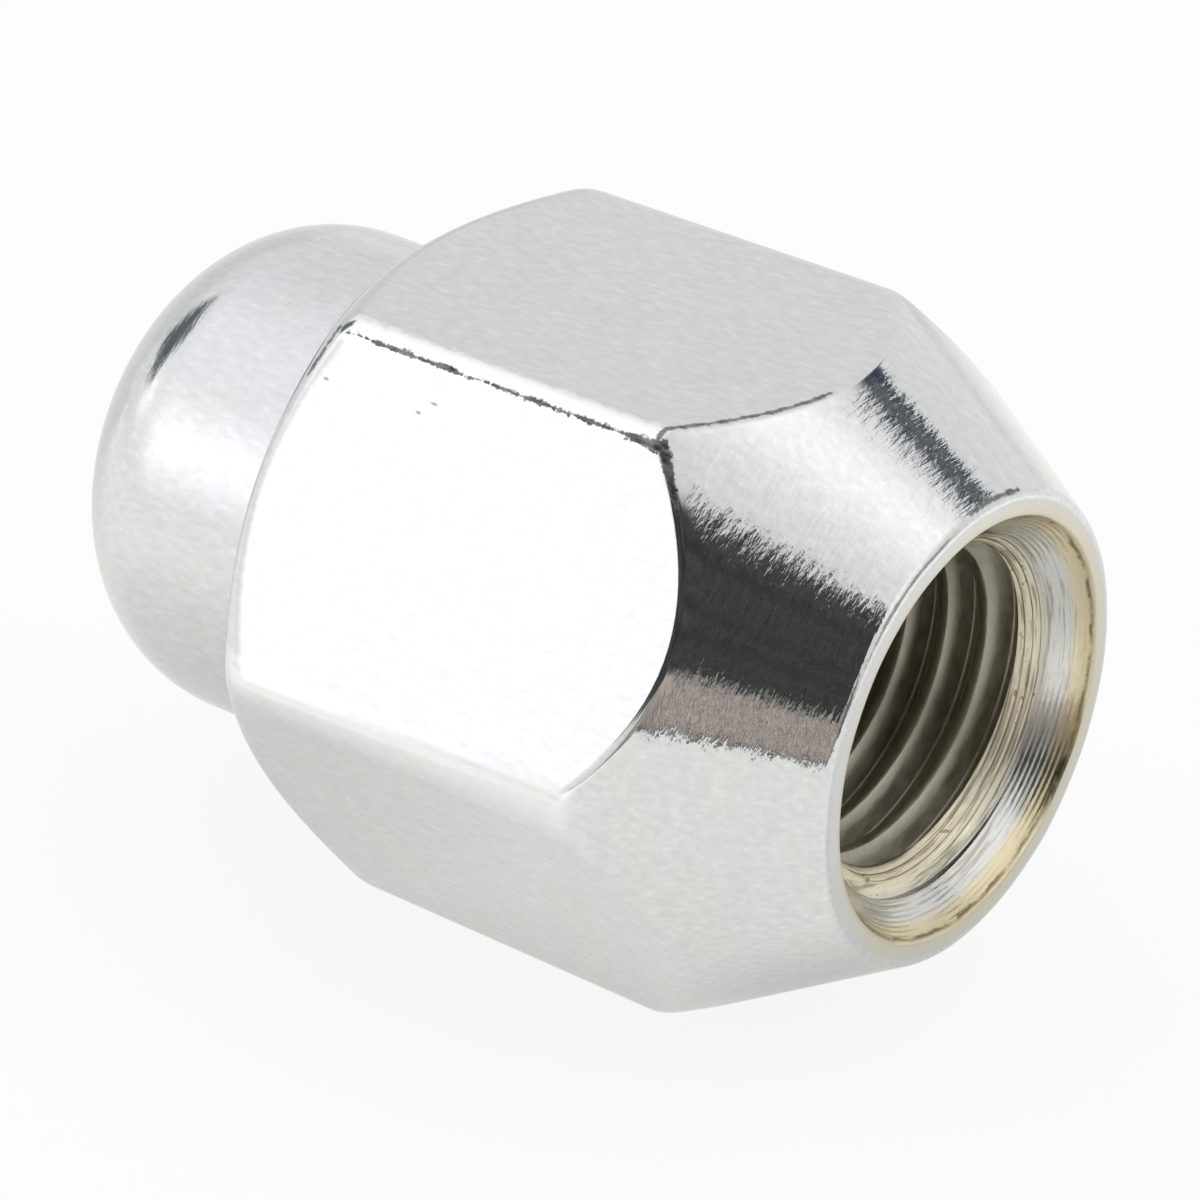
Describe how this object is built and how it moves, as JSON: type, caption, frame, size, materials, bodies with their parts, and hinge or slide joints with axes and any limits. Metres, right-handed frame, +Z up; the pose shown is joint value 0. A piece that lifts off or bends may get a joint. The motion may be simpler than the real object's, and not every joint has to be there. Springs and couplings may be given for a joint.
{
  "type": "lug nut",
  "caption": "Closed-end chromed lug nut with a tapered cone seat, a hex for the wheel wrench and a blind threaded hole for the wheel stud.",
  "frame": {"origin": "on the stud axis, in the plane of the mouth at the small end of the cone seat", "axes": "+X along the stud axis, out of the mouth; +Z up, square to the wrench flat that the nut lies under; -Z square to the flat that it lies on"},
  "size_m": [0.0317, 0.024, 0.021],
  "materials": {
    "chrome_plate": "bright chrome plate over turned steel"
  },
  "bodies": {
    "root": {"lug_nut": "chrome_plate"}
  },
  "joints": []
}
